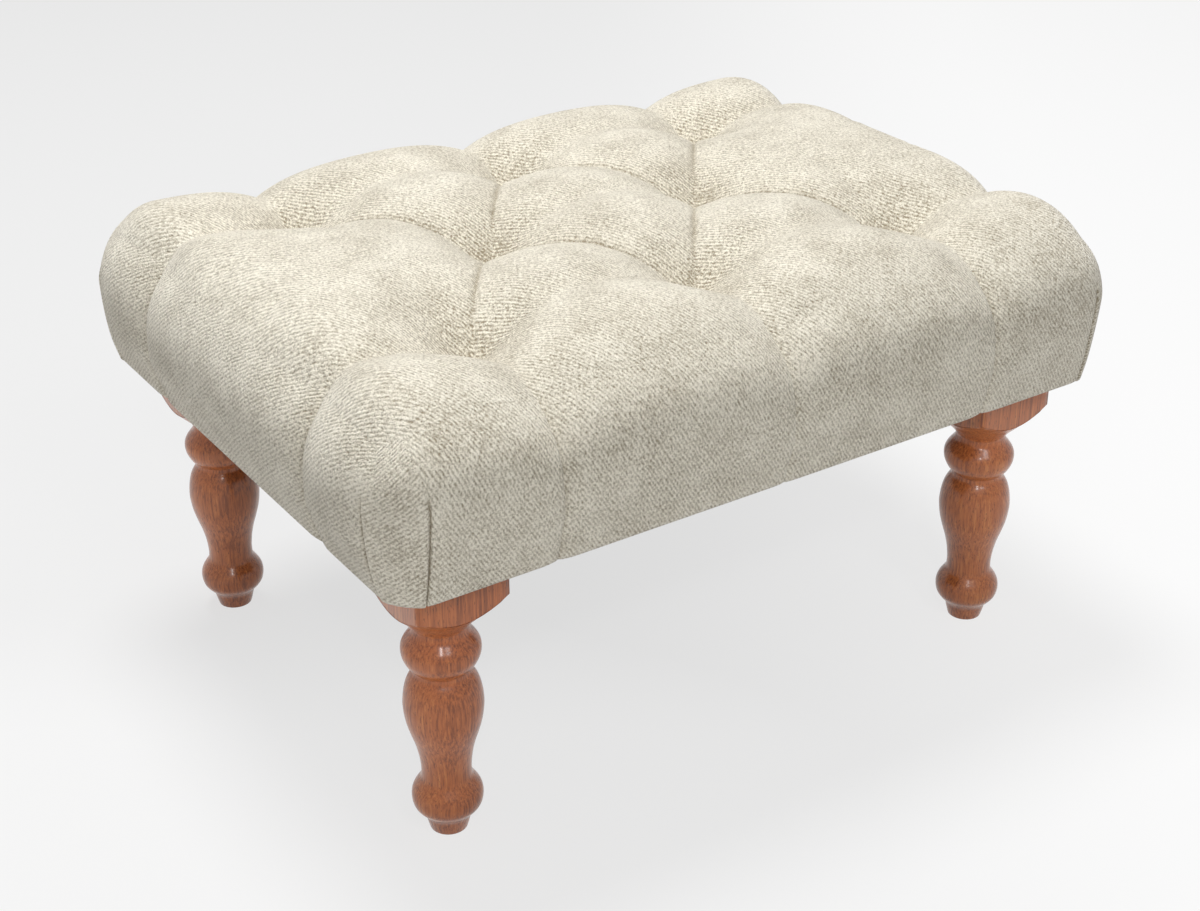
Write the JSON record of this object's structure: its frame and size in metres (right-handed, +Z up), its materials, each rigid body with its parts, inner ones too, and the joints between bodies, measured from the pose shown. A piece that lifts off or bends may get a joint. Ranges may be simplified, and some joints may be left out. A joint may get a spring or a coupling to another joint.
{
  "type": "footstool",
  "caption": "Low upholstered footstool: deep-tufted fabric cushion over a timber frame, on turned wooden legs.",
  "frame": {"origin": "on the floor under the middle of the stool", "axes": "+Z up, +X along the long side, front faces -Y"},
  "size_m": [0.648, 0.4986, 0.3695],
  "materials": {
    "leg_wood": "satin varnish",
    "frame_wood": "raw pine",
    "plywood": "raw plywood",
    "steel": "zinc plated",
    "dust_cloth": "matt non-woven cloth",
    "foam": "open-cell foam",
    "twine": "waxed",
    "cover_fabric": "brushed chenille twill"
  },
  "bodies": {
    "root": {"turned_legs": "leg_wood", "hanger_bolts": "steel", "bolt_inserts": "steel", "front_rail": "frame_wood", "back_rail": "frame_wood", "left_rail": "frame_wood", "right_rail": "frame_wood", "corner_block_front_left": "frame_wood", "corner_block_front_right": "frame_wood", "corner_block_back_left": "frame_wood", "corner_block_back_right": "frame_wood", "deck_board": "plywood", "dust_cloth": "dust_cloth", "foam_core": "foam", "tuft_twines": "twine", "tuft_toggles": "frame_wood", "quilted_cover": "cover_fabric"}
  },
  "joints": []
}
